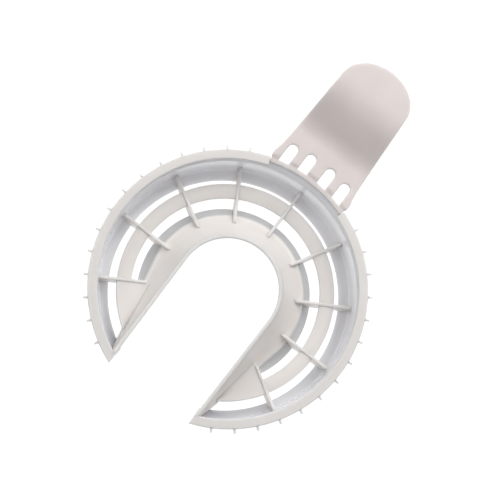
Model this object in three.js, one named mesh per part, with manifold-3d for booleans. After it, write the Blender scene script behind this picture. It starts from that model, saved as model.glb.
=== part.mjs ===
// Full-arch impression tray in millimetres, +Z up, trough opening upwards, +X along the handle.
// The tray is designed about the centre of its round trough, with the trough's lowest edges at
// z = 0. The whole model is shifted along X at the end, so the origin is the middle of its footprint.
import * as THREE from "three";
import { mergeVertices } from "three/addons/utils/BufferGeometryUtils.js";
import Module from "manifold-3d";

const wasm = await Module();
wasm.setup();

// ---- Driving dimensions -------------------------------------------------------------------

const gap = 0.05; // between neighbouring solids
const trayHeight = 14.6; // lowest edges to the top of the rim

// Rim: the flat flange round the outside of the trough
const rimOuterRadius = 34.3;
const rimInnerRadius = 32.0;
const rimThickness = 1.0;
const rimBottom = trayHeight - rimThickness;
const rimStartAngle = 19.2; // degrees from +X, where the rim makes room for the handle

// Outer wall: a sloping foot, a nearly upright face and a small cove outwards under the rim
const wallThickness = 1.15;
const outerWallFootRadius = 28.7;
const outerWallKnee = { radius: 31.2, z: 3.3 };
const outerWallShoulder = { radius: 31.7, z: 12.1 };
const outerWallCoveStart = { radius: 31.95, z: 12.8 };
const outerWallCoveRadius = 32.75;

// Opening for the tongue: half a circle with nearly parallel sides
const openingRadius = 12.4;
const openingTipHalfWidth = 12.0;
const tipX = -31.7;

// Lip round the opening
const lipWidth = 1.1;
const lipThickness = 1.2;
const lipBevel = 0.12;
const lipFrontTop = 13.5; // round the half circle
const lipTipTop = trayHeight; // at the heels, flush with the rim

// Lingual flange: the cove that falls from the lip to the trough's inner wall
const flangeEdgeRadius = 19.1;
const flangeEdgeTop = 5.4;
const flangeHollow = 1.6; // 1 is a straight slope, and more is a more hollow one
const flangeThickness = 1.0;
const flangeLeastReach = 0.3; // past the lip, at the heels
const flangeStraightFrom = -3.87; // X where its edge leaves the circle for a straight line
const flangeStraightSlope = 0.207; // how fast that line closes on the opening

// Inner wall, from the flange's edge down and outwards
const innerWallFootRadius = 21.85;
const innerWallLeastSlope = 0.2; // how far its foot lies past the flange's edge at the heels

// Band along the middle of the trough, under the teeth
const bandInnerRadius = 23.4;
const bandOuterRadius = 27.05;
const bandMiddleRadius = (bandInnerRadius + bandOuterRadius) / 2;
const bandTop = 6.6; // along its middle
const bandCrown = 0.3; // how far its edges lie lower
const bandThickness = 1.4;
const bandBottom = bandTop - bandThickness;
const bandCorner = 0.3;

// Cross ribs
const ribThickness = 0.78;
const ribAngles = [30, 60, 90, 120.8]; // degrees from the front rib, to each side
const lastRibAngle = ribAngles.at(-1);
const ribTop = 6.9;
const ribBottom = 0.8;
const ribInnerRadius = 17.3;
const ribEndLength = 0.4; // where its top falls to the flange

// Retention pins on the rim's edge
const pinRadius = 0.33;
const pinTaper = 0.85; // the end's radius over the root's
const pinLength = 1.0;
const pinsPerSide = 14;
const pinFirstAngle = 28.1;
const pinSpacing = 9.38;

// Handle: five fingers at the rim, a flat neck, a bend upwards and a round-ended grip
const handleThickness = 1.1;
const handleNeckTop = rimBottom + handleThickness;
const handleRise = 7.4;
const handleRootRadius = 32.9;
const handleRootOuterRadius = 34.2;
const handleRootDrop = 0.45;
const handleRootHalfAngle = 18.9;
const handleEndX = 65.8;
const handleEndRound = 0.55; // makes the end nearly half an ellipse
const handleBend = { startX: 42.0, riseX: 47.0, crestX: 50.2, endX: 58.2 };
const handleHalfWidths = [
  [32.4, 11.08],
  [33.3, 11.5],
  [34.6, 11.52],
  [35.8, 11.2],
  [37.0, 11.02],
  [39.0, 10.83],
  [44.0, 10.54],
  [50.0, 10.14],
  [58.3, 9.63],
];
const slotWidth = 2.65;
const slots = [
  { y: 2.92, endX: 39.05 },
  { y: 7.97, endX: 38.3 },
];

// Facets
const ringSegments = 96;
const stepAlongOpening = 1.5;
const stepsRoundOpening = 28;
const coveSteps = 8;
const roundSteps = 12;
const bendSteps = 6;
const pinSides = 10;

// How far the solids reach that only serve to cut others
const farAway = 80;
const cutBottom = -5;
const cutTop = trayHeight + 10;

// ---- Solids -------------------------------------------------------------------------------

// A closed geometry as a solid, with its faces turned outwards whichever way they were listed.
function solidOf(geometry) {
  const bare = geometry.index ? geometry.toNonIndexed() : geometry.clone();
  bare.deleteAttribute("normal");
  bare.deleteAttribute("uv");
  const merged = mergeVertices(bare, 1e-4);
  const vertProperties = merged.attributes.position.array;
  const triVerts = new Uint32Array(merged.index.array);
  const solid = new wasm.Manifold(new wasm.Mesh({ numProp: 3, vertProperties, triVerts }));
  if (solid.volume() > 0) return solid;
  const turned = triVerts.slice().reverse();
  return new wasm.Manifold(new wasm.Mesh({ numProp: 3, vertProperties, triVerts: turned }));
}

function geometryOf(solid) {
  const mesh = solid.getMesh();
  const geometry = new THREE.BufferGeometry();
  geometry.setAttribute("position", new THREE.BufferAttribute(mesh.vertProperties, 3));
  geometry.setIndex(new THREE.BufferAttribute(mesh.triVerts, 1));
  const faceted = geometry.toNonIndexed();
  faceted.computeVertexNormals();
  return faceted;
}

// A ring from a closed (radius, z) outline, listed anticlockwise.
function ring(outline) {
  const points = [...outline, outline[0]].map(([r, z]) => new THREE.Vector2(r, z));
  const geometry = new THREE.LatheGeometry(points, ringSegments);
  return solidOf(geometry.rotateX(Math.PI / 2));
}

// An upright prism over an outline in the XY plane.
function prism(shape, bottom, top) {
  const settings = { depth: top - bottom, bevelEnabled: false, curveSegments: roundSteps };
  return solidOf(new THREE.ExtrudeGeometry(shape, settings).translate(0, 0, bottom));
}

// A plate in the plane of the trough's axis at an angle, from an outline in (radius, z).
function radialPlate(shape, thickness, degrees) {
  const geometry = new THREE.ExtrudeGeometry(shape, { depth: thickness, bevelEnabled: false });
  geometry.translate(0, 0, -thickness / 2);
  geometry.rotateX(Math.PI / 2);
  geometry.rotateZ(THREE.MathUtils.degToRad(degrees));
  return solidOf(geometry);
}

function shapeOf(points) {
  return new THREE.Shape(points.map(([x, y]) => new THREE.Vector2(x, y)));
}

// A flat outline, upright over a level direction, cut into triangles that run the outline's way.
function capFaces(section) {
  const level = new THREE.Vector3().subVectors(section[0], section.at(-1)).setZ(0);
  if (level.length() < 1e-6) level.subVectors(section[0], section[1]).setZ(0);
  level.normalize();
  const flat = section.map((p) => new THREE.Vector2(p.dot(level), p.z));
  const faces = THREE.ShapeUtils.triangulateShape(flat, []);
  return THREE.ShapeUtils.isClockWise(flat) ? faces.map((face) => face.reverse()) : faces;
}

// A solid through a row of closed upright sections with the same number of points. Sections are
// listed lip first and edge next, so that faces meant to lie side by side are split alike.
function loft(sections) {
  const count = sections[0].length;
  const lastStart = (sections.length - 1) * count;
  const faces = [];
  for (let start = 0; start < lastStart; start += count) {
    for (let i = 0; i < count; i++) {
      const a = start + i;
      const b = start + ((i + 1) % count);
      faces.push(a, a + count, b, b, a + count, b + count);
    }
  }
  capFaces(sections[0]).forEach(([a, b, c]) => faces.push(a, b, c));
  capFaces(sections.at(-1)).forEach(([a, b, c]) => {
    faces.push(lastStart + a, lastStart + c, lastStart + b);
  });
  const positions = sections.flat().flatMap((p) => [p.x, p.y, p.z]);
  const geometry = new THREE.BufferGeometry();
  geometry.setAttribute("position", new THREE.Float32BufferAttribute(positions, 3));
  geometry.setIndex(faces);
  return solidOf(geometry);
}

// ---- The line of the opening ----------------------------------------------------------------

// Stations from the left heel round the front to the right heel. Each holds the point on the
// opening's edge, the level direction out of the opening, the lip's height, and how far out the
// flange's edge and the inner wall's foot lie.
function openingStations() {
  const stations = [];
  const sideSteps = Math.ceil(-tipX / stepAlongOpening);
  for (let i = sideSteps; i > 0; i--) stations.push(sideStation((tipX * i) / sideSteps, 1));
  for (let i = 0; i <= stepsRoundOpening; i++) {
    stations.push(frontStation(Math.PI / 2 - (Math.PI * i) / stepsRoundOpening));
  }
  for (let i = 1; i <= sideSteps; i++) stations.push(sideStation((tipX * i) / sideSteps, -1));
  return stations;
}

function frontStation(angle) {
  return {
    x: openingRadius * Math.cos(angle),
    y: openingRadius * Math.sin(angle),
    outX: Math.cos(angle),
    outY: Math.sin(angle),
    lipTop: lipFrontTop,
    flangeReach: flangeEdgeRadius - openingRadius,
    footReach: innerWallFootRadius - openingRadius,
  };
}

function sideStation(x, side) {
  const share = x / tipX;
  const halfWidth = THREE.MathUtils.lerp(openingRadius, openingTipHalfWidth, share);
  const straightStart = Math.sqrt(flangeEdgeRadius ** 2 - flangeStraightFrom ** 2);
  const edge =
    x > flangeStraightFrom
      ? Math.sqrt(flangeEdgeRadius ** 2 - x ** 2)
      : straightStart - flangeStraightSlope * (flangeStraightFrom - x);
  const foot = Math.sqrt(Math.max(innerWallFootRadius ** 2 - x ** 2, 0));
  const flangeReach = Math.max(edge - halfWidth, lipWidth + flangeLeastReach);
  return {
    x,
    y: side * halfWidth,
    outX: 0,
    outY: side,
    lipTop: THREE.MathUtils.lerp(lipFrontTop, lipTipTop, share),
    flangeReach,
    footReach: Math.max(foot - halfWidth, flangeReach + innerWallLeastSlope),
  };
}

function at(station, out, z) {
  return new THREE.Vector3(station.x + station.outX * out, station.y + station.outY * out, z);
}

// A hollow slope that is steepest at the lip and ends level.
function cove(fromOut, fromZ, toOut, toZ) {
  return Array.from({ length: coveSteps + 1 }, (_, i) => {
    const toGo = 1 - i / coveSteps;
    return [toOut - (toOut - fromOut) * toGo, toZ + (fromZ - toZ) * toGo ** flangeHollow];
  });
}

const stations = openingStations();

// How far the inner wall moves outwards for each millimetre it falls.
function innerWallFall(station) {
  return (station.footReach - station.flangeReach) / flangeEdgeTop;
}

// What the flange and inner wall fill on the trough's side, down to below the tray.
function lingualCore(clear) {
  const inTheOpening = -2;
  return loft(
    stations.map((s) => {
      const flange = cove(
        lipWidth + clear,
        s.lipTop + clear,
        s.flangeReach + clear,
        flangeEdgeTop + clear,
      );
      const outline = [
        [inTheOpening, cutBottom],
        [inTheOpening, cutTop],
        [lipWidth + clear, cutTop],
        ...flange,
        [s.footReach + clear, 0],
        [s.footReach + clear, cutBottom],
      ];
      return outline.map(([out, z]) => at(s, out, z));
    }),
  );
}

// ---- Outline of the outer wall ----------------------------------------------------------------

function outerWallInside(shift) {
  const corners = [outerWallKnee, outerWallShoulder, outerWallCoveStart];
  return [
    [outerWallFootRadius + shift, 0],
    ...corners.map((corner) => [corner.radius + shift, corner.z]),
    [outerWallCoveRadius + shift, rimBottom - gap],
  ];
}

// Everything outside the inner faces of the outer wall and the rim.
function outerKeepOut(clear) {
  return ring([
    [outerWallFootRadius - clear, cutBottom],
    [farAway, cutBottom],
    [farAway, cutTop],
    [rimInnerRadius - clear, cutTop],
    [rimInnerRadius - clear, rimBottom - clear],
    ...outerWallInside(-clear).slice(0, -1).reverse(),
  ]);
}

// The tongue's opening and the open side behind it, as a prism.
function openingPrism() {
  const shape = new THREE.Shape();
  shape.moveTo(-farAway, -openingTipHalfWidth);
  shape.lineTo(tipX, -openingTipHalfWidth);
  shape.lineTo(0, -openingRadius);
  shape.absarc(0, 0, openingRadius, -Math.PI / 2, Math.PI / 2, false);
  shape.lineTo(tipX, openingTipHalfWidth);
  shape.lineTo(-farAway, openingTipHalfWidth);
  return prism(shape, cutBottom, cutTop);
}

// A wedge about +X, used to cut rings to an arc.
function frontWedge(halfAngle) {
  const angle = THREE.MathUtils.degToRad(halfAngle);
  const shape = shapeOf([
    [0, 0],
    [farAway * Math.cos(angle), -farAway * Math.sin(angle)],
    [2 * farAway, 0],
    [farAway * Math.cos(angle), farAway * Math.sin(angle)],
  ]);
  return prism(shape, cutBottom, cutTop);
}

// Everything behind the last rib of one side, from a distance behind the rib's middle plane.
function behindLastRib(side, start) {
  const angle = THREE.MathUtils.degToRad(lastRibAngle);
  const along = new THREE.Vector2(Math.cos(angle), side * Math.sin(angle));
  const across = new THREE.Vector2(-side * along.y, side * along.x);
  const corners = [
    [0, start],
    [farAway, start],
    [farAway, farAway],
    [0, farAway],
  ];
  const shape = shapeOf(
    corners.map(([a, b]) => [along.x * a + across.x * b, along.y * a + across.y * b]),
  );
  return prism(shape, cutBottom, cutTop);
}

// ---- Sub-parts ------------------------------------------------------------------------------

// One side of the rim, from the handle's root to the heel.
function rimFlange(side) {
  const flat = ring([
    [rimInnerRadius, rimBottom],
    [rimOuterRadius, rimBottom],
    [rimOuterRadius, trayHeight],
    [rimInnerRadius, trayHeight],
  ]);
  const otherSide = new THREE.BoxGeometry(2 * farAway, farAway, farAway);
  otherSide.translate(0, (-side * farAway) / 2, 0);
  return flat
    .subtract(openingPrism())
    .subtract(frontWedge(rimStartAngle))
    .subtract(solidOf(otherSide));
}

function outerWall() {
  const wall = ring([
    [outerWallFootRadius + wallThickness, 0],
    ...outerWallInside(wallThickness).slice(1),
    ...outerWallInside(0).reverse(),
  ]);
  return wall.subtract(openingPrism());
}

function lip() {
  const strip = loft(
    stations.map((s) =>
      [
        [0, s.lipTop - lipThickness],
        [lipWidth, s.lipTop - lipThickness],
        [lipWidth, s.lipTop - lipBevel],
        [lipWidth - lipBevel, s.lipTop],
        [lipBevel, s.lipTop],
        [0, s.lipTop - lipBevel],
      ].map(([out, z]) => at(s, out, z)),
    ),
  );
  return strip.subtract(outerKeepOut(gap));
}

function lingualFlange() {
  const besideOpening = 0.1;
  const leastReach = 0.6;
  const body = loft(
    stations.map((s) => {
      const front = cove(lipWidth + gap, s.lipTop - gap, s.flangeReach, flangeEdgeTop);
      const back = cove(
        besideOpening,
        s.lipTop - lipThickness - gap,
        Math.max(s.flangeReach - flangeThickness, leastReach),
        flangeEdgeTop - flangeThickness,
      );
      const outline = [
        ...front,
        [s.flangeReach + innerWallFall(s) * flangeThickness, flangeEdgeTop - flangeThickness],
        ...back.reverse(),
        [lipWidth + gap, s.lipTop - lipThickness - gap],
      ];
      return outline.map(([out, z]) => at(s, out, z));
    }),
  );
  return body.subtract(outerKeepOut(gap));
}

function innerWall() {
  const top = flangeEdgeTop - flangeThickness - gap;
  const body = loft(
    stations.map((s) => {
      const topOut = s.flangeReach + innerWallFall(s) * (flangeEdgeTop - top);
      return [
        [topOut, top],
        [s.footReach, 0],
        [s.footReach - flangeThickness, 0],
        [topOut - flangeThickness, top],
      ].map(([out, z]) => at(s, out, z));
    }),
  );
  return body.subtract(outerKeepOut(gap));
}

// The band's section, crowned along its middle, swollen by a clearance.
function bandOutline(clear) {
  const inner = bandInnerRadius - clear;
  const outer = bandOuterRadius + clear;
  const bottom = bandBottom - clear;
  const edgeTop = bandTop - bandCrown + clear;
  const shoulderTop = bandTop - bandCrown / 4 + clear;
  return [
    [inner + bandCorner, bottom],
    [outer - bandCorner, bottom],
    [outer, bottom + bandCorner],
    [outer, edgeTop - bandCorner],
    [outer - bandCorner, edgeTop],
    [(outer + bandMiddleRadius) / 2, shoulderTop],
    [bandMiddleRadius, bandTop + clear],
    [(inner + bandMiddleRadius) / 2, shoulderTop],
    [inner + bandCorner, edgeTop],
    [inner, edgeTop - bandCorner],
    [inner, bottom + bandCorner],
  ];
}

function band() {
  const start = -ribThickness / 2 - gap;
  return ring(bandOutline(0))
    .subtract(behindLastRib(-1, start))
    .subtract(behindLastRib(1, start))
    .subtract(openingPrism());
}

function heelFloor(side) {
  const disc = new THREE.Shape();
  disc.absarc(0, 0, bandOuterRadius, 0, 2 * Math.PI, false);
  return prism(disc, bandBottom, bandTop)
    .intersect(behindLastRib(side, ribThickness / 2 + gap))
    .subtract(openingPrism())
    .subtract(lingualCore(gap));
}

function rib(degrees, core, wallOutside, bandSpace) {
  const shape = new THREE.Shape();
  shape.moveTo(ribInnerRadius, ribBottom);
  shape.lineTo(outerWallCoveRadius, ribBottom);
  shape.lineTo(outerWallCoveRadius, ribTop);
  shape.lineTo(ribInnerRadius + ribEndLength, ribTop);
  shape.quadraticCurveTo(
    ribInnerRadius + ribEndLength / 3,
    ribTop,
    ribInnerRadius,
    ribTop - ribEndLength,
  );
  return radialPlate(shape, ribThickness, degrees)
    .subtract(core)
    .subtract(wallOutside)
    .subtract(bandSpace);
}

function pin(degrees) {
  const geometry = new THREE.CylinderGeometry(
    pinTaper * pinRadius,
    pinRadius,
    pinLength,
    pinSides,
  );
  geometry.translate(0, pinLength / 2, 0);
  geometry.rotateZ(-Math.PI / 2);
  geometry.translate(rimOuterRadius + gap, 0, rimBottom + rimThickness / 2);
  geometry.rotateZ(THREE.MathUtils.degToRad(degrees));
  return geometry;
}

// The handle from above: the root follows the rim, the sides taper, the end is round.
function handleOutline() {
  const half = THREE.MathUtils.degToRad(handleRootHalfAngle);
  const [endX, endHalf] = handleHalfWidths.at(-1);
  const cornerX = endX + handleEndRound * (handleEndX - endX);
  const tipHalf = handleEndRound * endHalf;
  const lower = handleHalfWidths.map(([x, y]) => [x, -y]);
  const upper = [...handleHalfWidths].reverse();
  const shape = new THREE.Shape();
  shape.moveTo(lower[0][0], lower[0][1]);
  lower.slice(1).forEach(([x, y]) => shape.lineTo(x, y));
  shape.bezierCurveTo(cornerX, -endHalf, handleEndX, -tipHalf, handleEndX, 0);
  shape.bezierCurveTo(handleEndX, tipHalf, cornerX, endHalf, endX, endHalf);
  upper.slice(1).forEach(([x, y]) => shape.lineTo(x, y));
  shape.lineTo(handleRootRadius * Math.cos(half), handleRootRadius * Math.sin(half));
  shape.absarc(0, 0, handleRootRadius, half, -half, true);
  return shape;
}

// A slot between two fingers, round at its outer end and starting inside the root.
function slotPrism(y, endX) {
  const radius = slotWidth / 2;
  const startX = handleRootOuterRadius - 5;
  const shape = new THREE.Shape();
  shape.moveTo(startX, y - radius);
  shape.lineTo(endX - radius, y - radius);
  shape.absarc(endX - radius, y, radius, -Math.PI / 2, Math.PI / 2, false);
  shape.lineTo(startX, y + radius);
  return prism(shape, cutBottom, cutTop);
}

// The handle's top seen from the side: two level stretches and a straight ramp, joined by bends
// that start and end along their neighbours.
function handleTopLine() {
  const { startX, riseX, crestX, endX } = handleBend;
  const point = (x, z) => new THREE.Vector2(x, handleNeckTop + z);
  const lowerMiddle = (startX + riseX) / 2;
  const upperMiddle = (crestX + endX) / 2;
  const slope = handleRise / (upperMiddle - lowerMiddle);
  const rampStart = point(riseX, slope * (riseX - lowerMiddle));
  const rampEnd = point(crestX, slope * (crestX - lowerMiddle));
  const lower = new THREE.QuadraticBezierCurve(point(startX, 0), point(lowerMiddle, 0), rampStart);
  const upper = new THREE.QuadraticBezierCurve(
    rampEnd,
    point(upperMiddle, handleRise),
    point(endX, handleRise),
  );
  return [
    point(rimInnerRadius - 2, 0),
    ...lower.getPoints(bendSteps),
    ...upper.getPoints(bendSteps),
    point(handleEndX + 5, handleRise),
  ];
}

// The handle's plate as wide as needed, before its outline is cut.
function handlePlate() {
  const top = handleTopLine();
  const bottom = top.map((p, i) => {
    const before = top[Math.max(i - 1, 0)];
    const after = top[Math.min(i + 1, top.length - 1)];
    const along = new THREE.Vector2().subVectors(after, before).normalize();
    return new THREE.Vector2(p.x + along.y * handleThickness, p.y - along.x * handleThickness);
  });
  const shape = new THREE.Shape([...bottom, ...top.reverse()]);
  const geometry = new THREE.ExtrudeGeometry(shape, { depth: farAway, bevelEnabled: false });
  geometry.translate(0, 0, -farAway / 2);
  geometry.rotateX(Math.PI / 2);
  return solidOf(geometry);
}

function handle() {
  const axis = 1;
  const insideRoot = ring([
    [axis, cutBottom],
    [handleRootOuterRadius, cutBottom],
    [handleRootOuterRadius, cutTop],
    [axis, cutTop],
  ]);
  const stepFloor = handleNeckTop - handleRootDrop;
  const rootStep = ring([
    [axis, stepFloor],
    [handleRootOuterRadius, stepFloor],
    [handleRootOuterRadius + 2 * handleRootDrop, stepFloor + 2 * handleRootDrop],
    [axis, stepFloor + 2 * handleRootDrop],
  ]);
  let solid = handlePlate().intersect(prism(handleOutline(), cutBottom, cutTop));
  for (const { y, endX } of slots) {
    for (const side of [-1, 1]) {
      solid = solid.subtract(slotPrism(side * y, endX).subtract(insideRoot));
    }
  }
  return solid.subtract(rootStep);
}

// ---- Assembly -------------------------------------------------------------------------------

const plastic = {
  ivory: { color: 0xdfdbd7, roughness: 0.42, metalness: 0 },
  ivoryShade: { color: 0xd9d5d1, roughness: 0.45, metalness: 0 },
};

const sides = [
  [1, "left"],
  [-1, "right"],
];

const tray = new THREE.Group();
tray.name = "impression_tray";
const body = new THREE.Group();
tray.add(body);

function addPart(name, shape, finish) {
  const geometry = shape.isBufferGeometry ? shape : geometryOf(shape);
  const mesh = new THREE.Mesh(geometry, new THREE.MeshStandardMaterial(finish));
  mesh.name = name;
  body.add(mesh);
  return mesh;
}

function addRibs() {
  const core = lingualCore(2 * gap); // its facets aren't split quite as the flange's are
  const wallOutside = outerKeepOut(gap);
  const bandSpace = ring(bandOutline(gap));
  addPart("cross_rib_front", rib(0, core, wallOutside, bandSpace), plastic.ivory);
  ribAngles.forEach((degrees, i) => {
    // The last pair stands between the band's ends and the heel floors, so it isn't pierced.
    const pierced = degrees < lastRibAngle ? bandSpace : bandSpace.translate([0, 0, -farAway]);
    for (const [side, label] of sides) {
      const solid = rib(side * degrees, core, wallOutside, pierced);
      addPart("cross_rib_" + label + "_" + (i + 1), solid, plastic.ivory);
    }
  });
}

function addPins() {
  for (let i = 0; i < pinsPerSide; i++) {
    const degrees = pinFirstAngle + pinSpacing * i;
    const number = String(i + 1).padStart(2, "0");
    for (const [side, label] of sides) {
      addPart("retention_pin_" + label + "_" + number, pin(side * degrees), plastic.ivory);
    }
  }
}

for (const [side, label] of sides) {
  addPart("rim_flange_" + label, rimFlange(side), plastic.ivory);
  addPart("heel_floor_" + label, heelFloor(side), plastic.ivory);
}
addPart("outer_wall", outerWall(), plastic.ivoryShade);
addPart("opening_lip", lip(), plastic.ivory);
addPart("lingual_flange", lingualFlange(), plastic.ivory);
addPart("inner_wall", innerWall(), plastic.ivoryShade);
addPart("occlusal_band", band(), plastic.ivory);
addPart("handle", handle(), plastic.ivory);
addRibs();
addPins();

// The origin lies under the middle of the footprint.
const box = new THREE.Box3().setFromObject(body);
body.position.x = -(box.min.x + box.max.x) / 2;

export default tray;
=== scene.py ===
import math

import bmesh
import bpy
from mathutils import Matrix, Vector, geometry


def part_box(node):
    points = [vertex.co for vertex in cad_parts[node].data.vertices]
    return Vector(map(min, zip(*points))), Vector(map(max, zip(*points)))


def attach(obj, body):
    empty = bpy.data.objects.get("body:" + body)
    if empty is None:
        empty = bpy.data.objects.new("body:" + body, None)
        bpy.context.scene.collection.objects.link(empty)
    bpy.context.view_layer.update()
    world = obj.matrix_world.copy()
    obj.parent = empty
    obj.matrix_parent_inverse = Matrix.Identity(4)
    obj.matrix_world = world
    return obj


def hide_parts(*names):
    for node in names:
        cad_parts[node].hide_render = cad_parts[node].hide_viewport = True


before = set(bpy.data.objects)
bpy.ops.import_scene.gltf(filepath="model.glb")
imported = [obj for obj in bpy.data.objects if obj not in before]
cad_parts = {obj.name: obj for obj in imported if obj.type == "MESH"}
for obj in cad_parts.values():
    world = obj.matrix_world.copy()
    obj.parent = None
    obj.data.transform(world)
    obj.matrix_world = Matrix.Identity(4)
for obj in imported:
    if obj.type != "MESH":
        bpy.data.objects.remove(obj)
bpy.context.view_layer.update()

# The tray is drawn in millimetres about the centre of its round trough, +X along the handle and
# +Z up, and each finished mesh is scaled to metres and moved to its place in the frame.
MM = 0.001


def frame_box(node):
    """Lowest and highest corner of a CAD node, in millimetres in the frame's own axes."""
    low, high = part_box(node)
    return low / MM, high / MM


# ---- Dimensions taken from the frame --------------------------------------------------------

band_low, band_high = frame_box("occlusal_band")
rim_low, rim_high = frame_box("rim_flange_left")
_, wall_high = frame_box("outer_wall")
_, lip_high = frame_box("opening_lip")
flange_low, _ = frame_box("lingual_flange")
_, foot_high = frame_box("inner_wall")
rib_low, rib_high = frame_box("cross_rib_front")
handle_low, handle_high = frame_box("handle")

BAND_OUTER = band_high.y
BAND_TOP = band_high.z
BAND_BOTTOM = band_low.z
CENTRE_X = band_high.x - BAND_OUTER

RIM_OUTER = rim_high.y
RIM_TOP = rim_high.z
RIM_BOTTOM = rim_low.z
RIM_FRONT_ANGLE = math.acos((rim_high.x - CENTRE_X) / RIM_OUTER)

WALL_TOP = wall_high.z
WALL_TOP_OUTER = wall_high.y

LIP_WIDTH = 1.1
OPENING_RADIUS = lip_high.y - LIP_WIDTH
FLANGE_BOTTOM = flange_low.z
FOOT_RADIUS = foot_high.y

RIB_THICKNESS = rib_high.y - rib_low.y
RIB_BOTTOM = rib_low.z
RIB_TOP = rib_high.z

HANDLE_END = handle_high.x - CENTRE_X
HANDLE_TOP = handle_high.z
HANDLE_BOTTOM = handle_low.z

# ---- Dimensions of the shapes themselves ----------------------------------------------------

RIM_INNER = 32.0
WALL_FOOT = 28.7
WALL_KNEE = (31.2, 3.3)
WALL_SHOULDER = (31.7, 12.1)
WALL_COVE_START = (31.95, 12.8)
WALL_COVE = 32.75
WALL_THICKNESS = 1.15
PALE_HEIGHT = 9.9  # PALE_HEIGHT = 9.9 # height up to which the outer wall's painted shade at its foot fades into its painted light

TIP_HALF_WIDTH = 12.0
SIDE_LENGTH = 31.7
LIP_FRONT_TOP = 13.5
LIP_DEPTH = 0.95
LIP_LEVEL_X = -29.3  # from here to its tips the lip is level with the rim
LIP_TIP_TOP = RIM_TOP - 0.006  # just under it, where the two sink into each other

FLANGE_EDGE = 19.1
FLANGE_EDGE_TOP = 5.4
FLANGE_HOLLOW = 1.6  # 1 is a straight slope, and more is a more hollow one
FLANGE_THICKNESS = FLANGE_EDGE_TOP - FLANGE_BOTTOM
FLANGE_STRAIGHT_X = -3.87
FLANGE_STRAIGHT_SLOPE = 0.207

BAND_INNER = 23.4
BAND_CROWN = 0.34

RIB_ANGLES = [math.radians(degrees) for degrees in (30, 60, 90, 120.8)]
LAST_RIB = RIB_ANGLES[-1]
RIB_INNER = 17.3
LAST_RIB_INNER = 19.8
RIB_EDGE_ROUND = 0.2

PIN_RADIUS = 0.33
PIN_TAPER = 0.88
PINS_PER_SIDE = 14
PIN_FIRST_ANGLE = math.radians(28.1)
PIN_SPACING = math.radians(9.38)
PIN_LENGTH = 1.05

HANDLE_THICKNESS = 1.1
HANDLE_NECK_TOP = HANDLE_BOTTOM + HANDLE_THICKNESS
ROOT_INNER = 32.9
ROOT_OUTER = 34.2
ROOT_DROP = 0.45
ROOT_BLEND = 0.75  # how far out of the root bar the neck takes to rise to its full height
ROOT_HALF_ANGLE = math.radians(18.9)
SLOT_WIDTH = 2.65
SLOTS = ((2.92, 39.05), (7.97, 38.3))
HANDLE_SIDES = (
    (32.4, 11.08),
    (33.3, 11.5),
    (34.6, 11.52),
    (35.8, 11.2),
    (37.0, 11.02),
    (39.0, 10.83),
    (44.0, 10.54),
    (50.0, 10.14),
    (58.3, 9.63),
)
HANDLE_END_ROUND = 0.55
BEND_START = 42.0
BEND_RISE = 47.0
BEND_CREST = 50.2
BEND_END = 58.2

END_ROUND = 0.1  # rounding of the flat ends of the rim and the outer wall

# ---- Fineness of the meshes -------------------------------------------------------------------

TURN_STEP = math.radians(1.5)
CORNER_STEPS = 6
SIDE_STEPS = 26
FRONT_STEPS = 60
COVE_STEPS = 16
SEARCH_STEPS = 30


# ---- Outlines --------------------------------------------------------------------------------

def rounded(corners):
    """A closed outline from (a, b, radius) corners, with each corner rounded to its radius."""
    points = []
    count = len(corners)
    for i, (a, b, radius) in enumerate(corners):
        corner = Vector((a, b))
        before = (Vector(corners[i - 1][:2]) - corner).normalized()
        after = (Vector(corners[(i + 1) % count][:2]) - corner).normalized()
        opening = before.angle(after)
        if radius <= 0:
            points.append(corner)
            continue
        reach = radius / math.tan(opening / 2)
        centre = corner + (before + after).normalized() * (radius / math.sin(opening / 2))
        start = corner + before * reach - centre
        finish = corner + after * reach - centre
        turn = start.angle_signed(finish)
        for k in range(CORNER_STEPS + 1):
            points.append(centre + turned(start, -turn * k / CORNER_STEPS))
    return points


def turned(vector, angle):
    """The vector turned anticlockwise by an angle."""
    c, s = math.cos(angle), math.sin(angle)
    return Vector((vector.x * c - vector.y * s, vector.x * s + vector.y * c))


def area_of(points):
    """Area inside an outline, positive when it runs anticlockwise."""
    pairs = zip(points, points[1:] + points[:1])
    return sum(p.x * q.y - q.x * p.y for p, q in pairs) / 2


def inset(points, distance):
    """The outline moved inwards by a distance; a negative one moves it outwards."""
    inward = 1 if area_of(points) > 0 else -1
    sharpest = 0.5  # keeps the move short at sharp corners
    moved = []
    for i, point in enumerate(points):
        before = (point - points[i - 1]).normalized()
        after = (points[(i + 1) % len(points)] - point).normalized()
        normals = [Vector((-d.y, d.x)) * inward for d in (before, after)]
        middle = (normals[0] + normals[1]).normalized()
        moved.append(point + middle * distance / max(sharpest, middle.dot(normals[0])))
    return moved


def spaced(points, longest):
    """The outline with its long edges cut into shorter ones."""
    result = []
    for p, q in zip(points, points[1:] + points[:1]):
        pieces = max(1, math.ceil((q - p).length / longest))
        result += [p.lerp(q, k / pieces) for k in range(pieces)]
    return result


def quarter_steps(radius, steps=3):
    """(inset, rise) pairs round a quarter circle from the side of an edge to its top."""
    turns = [math.pi / 2 * k / steps for k in range(steps + 1)]
    return [(radius * (1 - math.cos(t)), radius * math.sin(t)) for t in turns]


# ---- Meshes ----------------------------------------------------------------------------------

def skin(bm, rows):
    """Quads between closed rows of vertices with the same count."""
    count = len(rows[0])
    for row, following in zip(rows, rows[1:]):
        for i in range(count):
            j = (i + 1) % count
            bm.faces.new((row[i], row[j], following[j], following[i]))


def add_rows(bm, rows):
    """Vertices for rows of points."""
    return [[bm.verts.new(point) for point in row] for row in rows]


def sweep(rows):
    """A closed mesh through rows of points, with flat ends."""
    bm = bmesh.new()
    made = add_rows(bm, rows)
    skin(bm, made)
    bm.faces.new(made[0])
    bm.faces.new(reversed(made[-1]))
    bmesh.ops.recalc_face_normals(bm, faces=bm.faces)
    return bm


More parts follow.
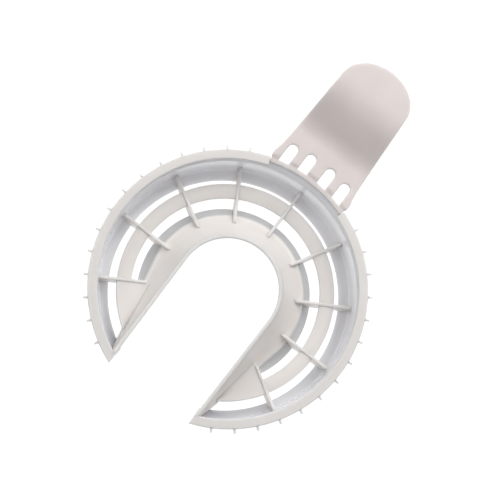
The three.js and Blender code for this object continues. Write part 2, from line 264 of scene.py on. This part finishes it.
def turned_rows(outline, start, finish):
    """Rows of points round the trough's axis, from an outline in (radius, height)."""
    steps = max(1, math.ceil(abs(finish - start) / TURN_STEP))
    angles = [start + (finish - start) * k / steps for k in range(steps + 1)]
    return [[on_circle(p.x, a, p.y) for p in outline] for a in angles]


def on_circle(radius, angle, z):
    """The point at a radius and bearing from the trough's axis, at a height."""
    return Vector((radius * math.cos(angle), radius * math.sin(angle), z))


def finish_piece(bm, name, nodes, material):
    """Scales the mesh to metres, puts it in its place and makes it a piece of the tray.

    Faces with three or four corners are shaded smooth. Those with more are flat ends, and stay flat.
    """
    for vert in bm.verts:
        vert.co = Vector((vert.co.x + CENTRE_X, vert.co.y, vert.co.z)) * MM
    bmesh.ops.recalc_face_normals(bm, faces=bm.faces)
    mesh = bpy.data.meshes.new(name)
    bm.to_mesh(mesh)
    bm.free()
    mesh.polygons.foreach_set("use_smooth", [len(p.vertices) <= 4 for p in mesh.polygons])
    piece = bpy.data.objects.new(name, mesh)
    bpy.context.scene.collection.objects.link(piece)
    piece.data.materials.append(material)
    even = piece.modifiers.new("even_normals", "WEIGHTED_NORMAL")
    even.keep_sharp = True
    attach(piece, "root")
    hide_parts(*nodes)
    return piece


# ---- Rim and outer wall ----------------------------------------------------------------------

def opening_angle(radius, clear):
    """The angle at which a circle round the trough's axis meets the side of the opening."""
    slope = (OPENING_RADIUS - TIP_HALF_WIDTH) / SIDE_LENGTH
    start = (OPENING_RADIUS + clear) / (radius * math.hypot(1, slope))
    return math.pi + math.atan(slope) - math.asin(start)


def arc_piece(outline, start, finish):
    """A part turned round the trough's axis, with rounded ends.

    start(radius, clear) and finish(radius, clear) give the angles at which it ends, for a point of
    the outline at that radius, when its end face is set back by clear.
    """
    ends = [(inset(outline, by), END_ROUND - rise) for by, rise in quarter_steps(END_ROUND)]
    rows = []
    for points, clear in reversed(ends):
        rows.append([on_circle(p.x, start(p.x, clear), p.y) for p in points])
    steps = math.ceil(abs(finish(RIM_OUTER, 0) - start(RIM_OUTER, 0)) / TURN_STEP)
    for k in range(1, steps):
        row = []
        for p in outline:
            first, last = start(p.x, END_ROUND), finish(p.x, END_ROUND)
            row.append(on_circle(p.x, first + (last - first) * k / steps, p.y))
        rows.append(row)
    for points, clear in ends:
        rows.append([on_circle(p.x, finish(p.x, clear), p.y) for p in points])
    return sweep(rows)


def rim(side):
    """A flat strip round one side, from the gap at the handle to the side of the opening."""
    foot_round, outer_foot_round = 0.12, 0.3
    edge_round, outer_edge_round = 0.18, 0.32
    outline = rounded([
        (RIM_INNER, RIM_BOTTOM, foot_round),
        (RIM_OUTER, RIM_BOTTOM, outer_foot_round),
        (RIM_OUTER, RIM_TOP, outer_edge_round),
        (RIM_INNER, RIM_TOP, edge_round),
    ])
    return arc_piece(
        outline,
        lambda radius, clear: side * (RIM_FRONT_ANGLE + math.asin(clear / radius)),
        lambda radius, clear: side * opening_angle(radius, clear),
    )


def outer_wall():
    """A sloping foot, a nearly upright face and a small cove, with its top sunk into the rim."""
    sunk = 0.04
    thick = WALL_THICKNESS
    foot_round, outer_foot_round = 0.14, 0.3
    knee_round = 1.6
    shoulder_round, outer_shoulder_round = 0.8, 1.0
    cove_round = 0.3
    top_round, cove_top_round = 0.05, 0.1
    lap, roll, roll_drop = 0.1, 0.12, 0.06
    outline = rounded([
        (WALL_FOOT, 0, foot_round),
        (WALL_FOOT + thick, 0, outer_foot_round),
        (WALL_KNEE[0] + thick, WALL_KNEE[1], knee_round),
        (WALL_SHOULDER[0] + thick, WALL_SHOULDER[1], outer_shoulder_round),
        (WALL_TOP_OUTER, WALL_TOP + sunk, top_round),
        (WALL_COVE + lap, WALL_TOP + sunk, cove_top_round),
        (WALL_COVE - roll, WALL_TOP - roll_drop, cove_top_round),
        (*WALL_COVE_START, cove_round),
        (*WALL_SHOULDER, shoulder_round),
        (*WALL_KNEE, knee_round),
    ])
    return arc_piece(
        outline,
        lambda radius, clear: -opening_angle(radius, clear),
        lambda radius, clear: opening_angle(radius, clear),
    )


# ---- Tongue side: lip, cove and inner wall ------------------------------------------------------

def half_width(x):
    """Half the opening's width at x, which narrows a little towards its tips."""
    return OPENING_RADIUS + (TIP_HALF_WIDTH - OPENING_RADIUS) * min(1, -x / SIDE_LENGTH)


def lip_top(x):
    """Height of the lip's top, which climbs from the front of the opening to its tips."""
    return LIP_FRONT_TOP + (LIP_TIP_TOP - LIP_FRONT_TOP) * min(1, max(0, x / LIP_LEVEL_X))


def flange_reach(x):
    """How far out of the opening's edge the cove ends, at x behind the trough's centre."""
    if x > FLANGE_STRAIGHT_X:
        edge = math.sqrt(FLANGE_EDGE ** 2 - min(x, 0) ** 2)
    else:
        straight_start = math.sqrt(FLANGE_EDGE ** 2 - FLANGE_STRAIGHT_X ** 2)
        edge = straight_start - FLANGE_STRAIGHT_SLOPE * (FLANGE_STRAIGHT_X - x)
    least = LIP_WIDTH + 0.3
    return max(edge - half_width(min(x, 0)), least)


def foot_reach(x):
    """How far out of the opening's edge the inner wall's foot is."""
    least_slope = 0.2
    foot = math.sqrt(max(FOOT_RADIUS ** 2 - min(x, 0) ** 2, 0))
    return max(foot - half_width(min(x, 0)), flange_reach(x) + least_slope)


def wall_inside(z):
    """Radius of the outer wall's inner face at a height."""
    corners = ((WALL_FOOT, 0.0), WALL_KNEE, WALL_SHOULDER)
    for (low_radius, low_z), (high_radius, high_z) in zip(corners, corners[1:]):
        if z < high_z:
            share = max(0, (z - low_z) / (high_z - low_z))
            return low_radius + (high_radius - low_radius) * share
    return WALL_SHOULDER[0]


def side_end(section, index, buried):
    """The x, behind the trough's centre, at which one line of a section is buried in the outer wall."""
    low, high = -40.0, 0.0  # the first lies outside the wall, and the second inside
    for _ in range(SEARCH_STEPS):
        x = (low + high) / 2
        out, z = section(x)[index]
        if math.hypot(x, half_width(x) + out) > wall_inside(z) + buried:
            low = x
        else:
            high = x
    return (low + high) / 2


def along_opening(section, buried=0.45):
    """A closed mesh from a section that follows the opening. section(x) lists (out, height)."""
    count = len(section(0.0))
    ends = [side_end(section, i, buried) for i in range(count)]
    rows = []

    def side_row(share, side):
        row = []
        for i in range(count):
            x = ends[i] * share
            out, z = section(x)[i]
            row.append(Vector((x, side * (half_width(x) + out), z)))
        return row

    rows += [side_row(k / SIDE_STEPS, 1) for k in range(SIDE_STEPS, 0, -1)]
    for k in range(FRONT_STEPS + 1):
        angle = math.pi / 2 - math.pi * k / FRONT_STEPS
        rows.append([on_circle(OPENING_RADIUS + out, angle, z) for out, z in section(0.0)])
    rows += [side_row(k / SIDE_STEPS, -1) for k in range(1, SIDE_STEPS + 1)]
    return sweep(rows)


def cove(from_out, from_z, to_out, to_z):
    """A hollow slope that is steepest at the lip and ends level."""
    shares = [1 - k / COVE_STEPS for k in range(COVE_STEPS + 1)]
    return [
        (to_out - (to_out - from_out) * to_go, to_z + (from_z - to_z) * to_go ** FLANGE_HOLLOW)
        for to_go in shares
    ]


def lip():
    """The narrow strip round the opening, whose ends sink into the rim."""
    edge_round, outer_edge_round, foot_round = 0.34, 0.6, 0.12

    def section(x):
        top = lip_top(x)
        outline = rounded([
            (0, top - LIP_DEPTH, foot_round),
            (LIP_WIDTH, top - LIP_DEPTH, 0),
            (LIP_WIDTH, top, outer_edge_round),
            (0, top, edge_round),
        ])
        return [(p.x, p.y) for p in outline]

    return along_opening(section, buried=1.9)


def lingual_flange():
    """The hollow slope from the lip to a crisp edge, from which it falls in line with the wall."""
    tuck, drop = 0.16, 0.2  # how far the slope starts in from the lip's side and below its top
    edge_lift = 0.01
    edge_roll = ((-0.06, -0.02), (0.01, -0.09))
    below_roll = 0.25
    last_step = 0.04
    back_out, least_back = 0.06, 0.6

    def section(x):
        top = lip_top(x)
        reach = flange_reach(x)
        fall = (foot_reach(x) - reach) / FLANGE_EDGE_TOP
        front = cove(LIP_WIDTH - tuck, top - drop, reach - tuck, FLANGE_EDGE_TOP + edge_lift)
        roll = [(reach + out, FLANGE_EDGE_TOP + rise) for out, rise in edge_roll]
        for below in (below_roll, FLANGE_THICKNESS - last_step, FLANGE_THICKNESS):
            roll.append((reach + fall * below, FLANGE_EDGE_TOP - below))
        back_reach = max(reach - FLANGE_THICKNESS, least_back)
        back = cove(back_out, top - LIP_DEPTH + drop, back_reach, FLANGE_BOTTOM)
        return front + roll + back[::-1]

    return along_opening(section)


def inner_wall():
    """The steep wall under the flange's edge, with its top sunk into the flange."""
    sunk = 0.3
    set_back = 0.012  # keeps its face just behind the flange's
    foot_round = 0.22

    def section(x):
        reach, foot = flange_reach(x), foot_reach(x)
        fall = (foot - reach) / FLANGE_EDGE_TOP
        top = FLANGE_BOTTOM + sunk
        top_out = reach + fall * (FLANGE_EDGE_TOP - top) - set_back
        outline = rounded([
            (top_out, top, 0),
            (foot - set_back, 0, foot_round),
            (foot - FLANGE_THICKNESS, 0, foot_round),
            (top_out - FLANGE_THICKNESS, top, 0),
        ])
        return [(p.x, p.y) for p in outline]

    return along_opening(section)


# ---- Floor of the trough: band, heel floors and ribs -------------------------------------------

def band():
    """A strip with a crowned top, which is highest along its middle."""
    middle = (BAND_INNER + BAND_OUTER) / 2
    half = (BAND_OUTER - BAND_INNER) / 2
    crown_steps = 10
    edge_round, foot_round = 0.26, 0.3
    corners = [(BAND_INNER, BAND_BOTTOM, foot_round), (BAND_OUTER, BAND_BOTTOM, foot_round)]
    for k in range(crown_steps + 1):
        across = 1 - 2 * k / crown_steps
        radius = edge_round if k in (0, crown_steps) else 0
        corners.append((middle + half * across, BAND_TOP - BAND_CROWN * across ** 2, radius))
    return sweep(turned_rows(rounded(corners), -LAST_RIB, LAST_RIB))


def floor_inner_radius(angle):
    """Distance from the trough's centre to where a heel floor has sunk into the cove."""
    sunk = 0.36  # share of the slope's width that the floor covers
    low, high = OPENING_RADIUS, RIM_OUTER
    for _ in range(SEARCH_STEPS):
        radius = (low + high) / 2
        x, y = radius * math.cos(angle), radius * math.sin(angle)
        reach = flange_reach(x)
        if y - half_width(x) > reach - sunk * (reach - LIP_WIDTH):
            high = radius
        else:
            low = radius
    return (low + high) / 2


def heel_floor(side):
    """The flat floor behind the last rib, which narrows to a point between slope and gap."""
    least_width = 0.15
    edge_round, foot_round = 0.35, 0.3
    last = LAST_RIB
    while BAND_OUTER - floor_inner_radius(last) > least_width:
        last += math.radians(0.5)
    steps = 24
    rows = []
    for k in range(steps + 1):
        angle = LAST_RIB + (last - LAST_RIB) * k / steps
        inner = floor_inner_radius(angle)
        outline = rounded([
            (BAND_OUTER, BAND_BOTTOM, foot_round),
            (BAND_OUTER, BAND_TOP, edge_round),
            (inner, BAND_TOP, 0),
            (inner, BAND_BOTTOM, 0),
        ])
        rows.append([on_circle(p.x, side * angle, p.y) for p in outline])
    return sweep(rows)


def slab(outline, thickness, radius, place):
    """A plate with rounded edges, from an outline; place(point, offset) puts a point in space."""
    half = thickness / 2
    layers = [(inset_by, half - radius + rise) for inset_by, rise in quarter_steps(radius)]
    rows = [[place(p, -offset) for p in inset(outline, by)] for by, offset in reversed(layers)]
    rows += [[place(p, offset) for p in inset(outline, by)] for by, offset in layers]
    return sweep(rows)


def rib(angle, inner):
    """A level plate across the trough. Its ends are buried in the outer wall, slope and inner wall."""
    outer_buried, inner_buried, foot_buried = 0.5, 0.3, 0.7
    slope_depth, edge_depth = 0.1, 0.6  # depths of its inner end's underside below the flange's edge
    end_length, end_drop, end_round = 0.5, 0.35, 0.6
    corner = 0.1
    outline = rounded([
        (inner - inner_buried, FLANGE_EDGE_TOP - slope_depth, 0),
        (max(inner, FLANGE_EDGE) - inner_buried, FLANGE_EDGE_TOP - edge_depth, 0),
        (FOOT_RADIUS - foot_buried, RIB_BOTTOM, corner),
        (wall_inside(RIB_BOTTOM) + outer_buried, RIB_BOTTOM, corner),
        (wall_inside(RIB_TOP) + outer_buried, RIB_TOP, corner),
        (inner + end_length, RIB_TOP, end_round),
        (inner - inner_buried, RIB_TOP - end_drop, 0),
    ])
    along = on_circle(1, angle, 0)
    across = Vector((-along.y, along.x, 0))

    def place(point, offset):
        return along * point.x + across * offset + Vector((0, 0, point.y))

    return slab(outline, RIB_THICKNESS, RIB_EDGE_ROUND, place)


# ---- Pins ---------------------------------------------------------------------------------------

def pin(angle):
    """A short blunt pin that leaves the rim with a small fillet."""
    tip = PIN_RADIUS * PIN_TAPER
    edge = 0.12
    fillet, fillet_length, buried = 0.06, 0.1, 0.35
    sides = 20
    root = PIN_RADIUS + fillet
    profile = [(-buried, root), (0.0, root), (fillet_length, PIN_RADIUS)]
    for inset_by, rise in quarter_steps(edge, 4):
        profile.append((PIN_LENGTH - edge + rise, tip - inset_by))
    along = on_circle(1, angle, 0)
    across = Vector((-along.y, along.x, 0))
    middle = Vector((0, 0, (RIM_TOP + RIM_BOTTOM) / 2))
    turns = [2 * math.pi * k / sides for k in range(sides)]
    rows = []
    for out, radius in profile:
        centre = along * (RIM_OUTER + out) + middle
        rows.append([
            centre + across * radius * math.cos(t) + Vector((0, 0, radius * math.sin(t)))
            for t in turns
        ])
    return sweep(rows)


# ---- Handle -------------------------------------------------------------------------------------

def bezier(points, steps):
    """Points along a cubic curve, without its first."""
    a, b, c, d = points
    result = []
    for k in range(1, steps + 1):
        t = k / steps
        s = 1 - t
        result.append(a * s ** 3 + b * 3 * s * s * t + c * 3 * s * t * t + d * t ** 3)
    return result


def smooth_side():
    """The handle's side from root to grip, as points eased through the driving widths."""
    steps = 8
    points = [Vector(p) for p in HANDLE_SIDES]
    result = [points[0]]
    for i in range(len(points) - 1):
        before = points[max(i - 1, 0)]
        after = points[min(i + 2, len(points) - 1)]
        start, finish = points[i], points[i + 1]
        span = (finish.x - start.x) / 3
        lead = start + (finish - before) / (finish.x - before.x) * span
        trail = finish - (after - start) / (after.x - start.x) * span
        result += bezier((start, lead, trail, finish), steps)
    return result


def handle_outline():
    """The handle from above: a root that follows the rim, tapered sides and a round end."""
    end_steps, root_steps, longest = 24, 40, 0.5
    upper = smooth_side()
    end_x, end_half = HANDLE_SIDES[-1]
    tip = Vector((HANDLE_END, 0))
    corner = (
        Vector((end_x, end_half)),
        Vector((end_x + HANDLE_END_ROUND * (HANDLE_END - end_x), end_half)),
        Vector((HANDLE_END, HANDLE_END_ROUND * end_half)),
        tip,
    )
    upper += bezier(corner, end_steps)
    lower = [Vector((p.x, -p.y)) for p in upper[-2::-1]]
    turns = [ROOT_HALF_ANGLE * (1 - 2 * k / root_steps) for k in range(root_steps + 1)]
    root = [Vector((ROOT_INNER * math.cos(t), ROOT_INNER * math.sin(t))) for t in turns]
    return spaced(upper + lower + root[::-1], longest)


def slot_outline(y, end_x):
    """A slot from the root bar to a round end."""
    end_steps, base_steps, longest = 20, 8, 0.35
    radius = SLOT_WIDTH / 2
    centre = end_x - radius
    turns = [math.pi / 2 - math.pi * k / end_steps for k in range(end_steps + 1)]
    end = [Vector((centre + radius * math.cos(t), y + radius * math.sin(t))) for t in turns]
    base = []
    for k in range(base_steps + 1):
        side = y - radius + SLOT_WIDTH * k / base_steps
        base.append(Vector((math.sqrt(ROOT_OUTER ** 2 - side ** 2), side)))
    return spaced(end + base, longest)


def handle_top(x):
    """Height of the handle's top over x: a level neck, a ramp between two bends and a level grip."""
    rise = HANDLE_TOP - HANDLE_NECK_TOP
    lower_middle = (BEND_START + BEND_RISE) / 2
    upper_middle = (BEND_CREST + BEND_END) / 2
    slope = rise / (upper_middle - lower_middle)
    if x < BEND_RISE:
        share = max(0, (x - BEND_START) / (BEND_RISE - BEND_START))
        return HANDLE_NECK_TOP + slope * (BEND_RISE - lower_middle) * share ** 2
    if x < BEND_CREST:
        return HANDLE_NECK_TOP + slope * (x - lower_middle)
    share = max(0, (BEND_END - x) / (BEND_END - BEND_CREST))
    return HANDLE_TOP - slope * (upper_middle - BEND_CREST) * share ** 2


def ease(value):
    """A smooth step from 0 to 1."""
    value = min(1, max(0, value))
    return value * value * (3 - 2 * value)


def handle_place(point, depth):
    """A point of the flat handle, depth under its top, on the cranked one."""
    x, y = point
    step = 0.05
    slope = (handle_top(x + step) - handle_top(x - step)) / (2 * step)
    normal = Vector((-slope, 0, 1)).normalized()
    radius = math.hypot(x, y)
    root = ease((ROOT_OUTER + ROOT_BLEND - radius) / ROOT_BLEND)
    drop = ROOT_DROP * root * (1 - depth / HANDLE_THICKNESS)
    place = Vector((x, y, handle_top(x))) - normal * depth
    return place - Vector((0, 0, drop))


def inside(point, outline):
    """True where a point lies inside an outline."""
    hit = False
    if not min(p.x for p in outline) < point.x < max(p.x for p in outline):
        return False
    for p, q in zip(outline, outline[1:] + outline[:1]):
        if (p.y > point.y) != (q.y > point.y):
            if point.x < p.x + (point.y - p.y) / (q.y - p.y) * (q.x - p.x):
                hit = not hit
    return hit


def filled(bm, loops, spacing, place):
    """Triangles over the outline loops[0] less the holes in the rest, on a grid of points."""
    corners = [p for points, _ in loops for p in points]
    verts = [v for _, made in loops for v in made]
    edges = []
    start = 0
    for points, _ in loops:
        edges += [(start + i, start + (i + 1) % len(points)) for i in range(len(points))]
        start += len(points)
    margin = 0.6 * spacing
    keep_in = inset(loops[0][0], margin)
    keep_out = [inset(points, -margin) for points, _ in loops[1:]]
    low_x, high_x = min(p.x for p in corners), max(p.x for p in corners)
    low_y, high_y = min(p.y for p in corners), max(p.y for p in corners)
    grid = []
    for r in range(math.ceil((high_y - low_y) / spacing)):
        for c in range(math.ceil((high_x - low_x) / spacing)):
            shift = 0.5 * (r % 2)
            point = Vector((low_x + (c + shift) * spacing, low_y + r * spacing))
            if inside(point, keep_in) and not any(inside(point, hole) for hole in keep_out):
                grid.append(point)
    verts = verts + [bm.verts.new(place(p)) for p in grid]
    made = geometry.delaunay_2d_cdt(corners + grid, edges, [], 1, 1e-5)
    origin = [ids[0] for ids in made[3]]
    for triangle in made[2]:
        centre = sum((made[0][i] for i in triangle), Vector((0, 0))) / 3
        if not any(inside(centre, points) for points, _ in loops[1:]):
            bm.faces.new([verts[origin[i]] for i in triangle])


def handle():
    """The slotted outline with rounded edges, bent to the crank's shape."""
    radius = 0.3
    grid = 0.45
    bm = bmesh.new()
    loops = [handle_outline()]
    loops += [slot_outline(side * y, end_x) for y, end_x in SLOTS for side in (-1, 1)]
    tops, bottoms = [], []
    for number, outline in enumerate(loops):
        hole = -1 if number else 1
        quarter = quarter_steps(radius)
        layers = [(by, radius - rise) for by, rise in reversed(quarter)]
        layers += [(by, HANDLE_THICKNESS - radius + rise) for by, rise in quarter]
        outlines = [inset(outline, hole * by) for by, _ in layers]
        rows = add_rows(bm, [
            [handle_place(p, depth) for p in points]
            for points, (_, depth) in zip(outlines, layers)
        ])
        skin(bm, rows)
        tops.append((outlines[0], rows[0]))
        bottoms.append((outlines[-1], rows[-1]))
    filled(bm, tops, grid, lambda p: handle_place(p, 0))
    filled(bm, bottoms, grid, lambda p: handle_place(p, HANDLE_THICKNESS))
    bmesh.ops.recalc_face_normals(bm, faces=bm.faces)
    return bm


# ---- Materials ------------------------------------------------------------------------------------

def plastic(name, light, dark, roughness, pale=None):
    """Off-white moulded plastic: faint clouding in the tone, a satin skin and a fine moulded grain.

    pale is a painted tone that a wall shades into from its foot up, over PALE_HEIGHT: painted light coming
    through a thin wall, above a foot of painted shade.
    """
    material = bpy.data.materials.new(name)
    material.use_nodes = True
    nodes, links = material.node_tree.nodes, material.node_tree.links
    shader = nodes["Principled BSDF"]
    shader.inputs["IOR"].default_value = 1.5
    shader.inputs["Subsurface Weight"].default_value = 0.7
    shader.inputs["Subsurface Radius"].default_value = (1.0, 0.95, 0.92)
    shader.inputs["Subsurface Scale"].default_value = 0.0012
    place = nodes.new("ShaderNodeTexCoord")

    def noise_texture(scale, detail):
        texture = nodes.new("ShaderNodeTexNoise")
        texture.inputs["Scale"].default_value = scale
        texture.inputs["Detail"].default_value = detail
        links.new(place.outputs["Object"], texture.inputs["Vector"])
        return texture

    cloud = noise_texture(90, 3)
    tone = nodes.new("ShaderNodeValToRGB")
    tone.color_ramp.elements[0].position = 0.35
    tone.color_ramp.elements[0].color = (*dark, 1)
    tone.color_ramp.elements[1].position = 0.65
    tone.color_ramp.elements[1].color = (*light, 1)
    links.new(cloud.outputs["Fac"], tone.inputs["Fac"])
    colour = tone.outputs["Color"]
    if pale:
        height = nodes.new("ShaderNodeSeparateXYZ")
        links.new(place.outputs["Object"], height.inputs["Vector"])
        share = nodes.new("ShaderNodeMapRange")
        share.interpolation_type = "SMOOTHSTEP"
        share.inputs["From Min"].default_value = 0
        share.inputs["From Max"].default_value = PALE_HEIGHT * MM
        links.new(height.outputs["Z"], share.inputs["Value"])
        blend = nodes.new("ShaderNodeMix")
        blend.data_type = "RGBA"
        links.new(share.outputs["Result"], blend.inputs["Factor"])
        links.new(colour, blend.inputs["A"])
        blend.inputs["B"].default_value = (*pale, 1)
        colour = blend.outputs["Result"]
    links.new(colour, shader.inputs["Base Color"])

    sheen = noise_texture(400, 2)
    spread = nodes.new("ShaderNodeMapRange")
    spread.inputs["To Min"].default_value = roughness - 0.03
    spread.inputs["To Max"].default_value = roughness + 0.04
    links.new(sheen.outputs["Fac"], spread.inputs["Value"])
    links.new(spread.outputs["Result"], shader.inputs["Roughness"])

    grain = noise_texture(5200, 2)
    flow = noise_texture(650, 3)
    coarse = nodes.new("ShaderNodeBump")
    coarse.inputs["Strength"].default_value = 0.08
    coarse.inputs["Distance"].default_value = 0.0002
    links.new(flow.outputs["Fac"], coarse.inputs["Height"])
    fine = nodes.new("ShaderNodeBump")
    fine.inputs["Strength"].default_value = 0.12
    fine.inputs["Distance"].default_value = 0.00002
    links.new(grain.outputs["Fac"], fine.inputs["Height"])
    links.new(coarse.outputs["Normal"], fine.inputs["Normal"])
    links.new(fine.outputs["Normal"], shader.inputs["Normal"])
    return material


def studio_floor():
    """A pale floor that glows, as a light table does, so that no shadow shows on it."""
    bm = bmesh.new()
    bmesh.ops.create_grid(bm, x_segments=1, y_segments=1, size=3.0)
    mesh = bpy.data.meshes.new("floor")
    bm.to_mesh(mesh)
    bm.free()
    floor = bpy.data.objects.new("floor", mesh)
    bpy.context.scene.collection.objects.link(floor)
    material = bpy.data.materials.new("floor_white")
    material.use_nodes = True
    shader = material.node_tree.nodes["Principled BSDF"]
    shader.inputs["Base Color"].default_value = (0.3, 0.3, 0.3, 1)
    shader.inputs["Roughness"].default_value = 0.9
    shader.inputs["Emission Color"].default_value = (0.97, 0.99, 1, 1)
    shader.inputs["Emission Strength"].default_value = 0.93
    floor.data.materials.append(material)
    floor.location.z = -0.2 * MM


def area_light(name, place, target, size, power):
    """A square lamp, size across, that points at its target."""
    light = bpy.data.lights.new(name, "AREA")
    light.size = size
    light.energy = power
    lamp = bpy.data.objects.new(name, light)
    lamp.location = place
    lamp.rotation_euler = (target - place).to_track_quat("-Z", "Y").to_euler()
    bpy.context.scene.collection.objects.link(lamp)


def studio():
    """A dim even sky and three lamps: in front, overhead and on the left."""
    world = bpy.data.worlds.new("studio")
    world.use_nodes = True
    background = world.node_tree.nodes["Background"]
    background.inputs["Color"].default_value = (0.94, 0.97, 1, 1)
    background.inputs["Strength"].default_value = 0.28
    bpy.context.scene.world = world
    middle = Vector((0, 0, 0.01))
    distance = 0.8
    slanted = 0.566  # on two axes at once, which comes to the same distance
    size = 0.5
    area_light("key", Vector((slanted, 0, slanted)), middle, size, 3.6)
    area_light("overhead", Vector((0, 0, distance)), middle, size, 0.7)
    area_light("side", Vector((0, slanted, slanted)), middle, size, 1.4)
    bpy.context.scene.view_settings.view_transform = "Standard"


def camera():
    """Nearly overhead, on the opening's side, with the handle pointing up to the right."""
    tilt = math.radians(10.0)
    bearing = math.radians(181.5)
    distance = 0.5
    view_width = 0.1218
    aim_ahead, aim_left = 10.55, 1.46
    aim = Vector((CENTRE_X + aim_ahead, aim_left, RIM_TOP)) * MM
    level = Vector((math.cos(bearing), math.sin(bearing), 0))
    back = level * math.sin(tilt) + Vector((0, 0, math.cos(tilt)))
    handle_turn = math.radians(52.3)
    right = Vector((math.cos(handle_turn), -math.sin(handle_turn), 0))
    right = (right - back * right.dot(back)).normalized()
    up = back.cross(right)
    data = bpy.data.cameras.new("camera")
    data.sensor_width = 36
    data.lens = data.sensor_width * distance / view_width
    data.clip_start = 0.01
    stand = bpy.data.objects.new("camera", data)
    stand.location = aim + back * distance
    stand.rotation_euler = Matrix([[right[i], up[i], back[i]] for i in range(3)]).to_euler()
    bpy.context.scene.collection.objects.link(stand)
    bpy.context.scene.camera = stand


# ---- The tray -------------------------------------------------------------------------------------

def tray():
    """Every piece, with the CAD nodes that it stands for and its plastic; the walls and the handle get
    copies of that plastic with painted light or shade.
    """
    body = plastic("tray_plastic", (0.845, 0.81, 0.78), (0.815, 0.78, 0.75), 0.36)
    # Painted light and shade: the outer wall is the tray's one plastic. This darker, cooler copy paints
    # the shade at its foot, and the pale, cool tone it fades into paints the light that comes through the
    # thin upper wall.
    outer = plastic("outer_wall_painted_light_and_shade", (0.73, 0.73, 0.75), (0.71, 0.71, 0.73), 0.08, (0.89, 0.89, 0.92))
    # Painted shade: the inner wall is the tray's one plastic, and this darker grey copy paints the shade
    # in the trough under the flange's edge.
    shaded_inner_plastic = plastic("inner_wall_painted_shade", (0.59, 0.59, 0.6), (0.57, 0.57, 0.58), 0.3)
    # Painted shade: the handle is the tray's one plastic, and this slightly darker copy tones down how
    # bright it comes out under the lamps.
    grip = plastic("handle_plastic", (0.79, 0.735, 0.715), (0.76, 0.705, 0.685), 0.38)
    for side, label in ((1, "left"), (-1, "right")):
        finish_piece(rim(side), "rim_" + label, ["rim_flange_" + label], body)
        finish_piece(heel_floor(side), "heel_" + label, ["heel_floor_" + label], body)
    finish_piece(outer_wall(), "wall_outer", ["outer_wall"], outer)
    finish_piece(lip(), "lip", ["opening_lip"], body)
    finish_piece(lingual_flange(), "cove", ["lingual_flange"], body)
    finish_piece(inner_wall(), "wall_inner", ["inner_wall"], shaded_inner_plastic)
    finish_piece(band(), "band", ["occlusal_band"], body)
    finish_piece(rib(0, RIB_INNER), "rib_front", ["cross_rib_front"], body)
    for i, angle in enumerate(RIB_ANGLES, 1):
        for side, label in ((1, "left"), (-1, "right")):
            name = f"{label}_{i}"
            inner = LAST_RIB_INNER if angle == LAST_RIB else RIB_INNER
            finish_piece(rib(side * angle, inner), "rib_" + name, ["cross_rib_" + name], body)
    for i in range(PINS_PER_SIDE):
        for side, label in ((1, "left"), (-1, "right")):
            name = f"{label}_{i + 1:02d}"
            angle = side * (PIN_FIRST_ANGLE + PIN_SPACING * i)
            finish_piece(pin(angle), "pin_" + name, ["retention_pin_" + name], body)
    finish_piece(handle(), "grip", ["handle"], grip)


camera()
studio_floor()
studio()
tray()
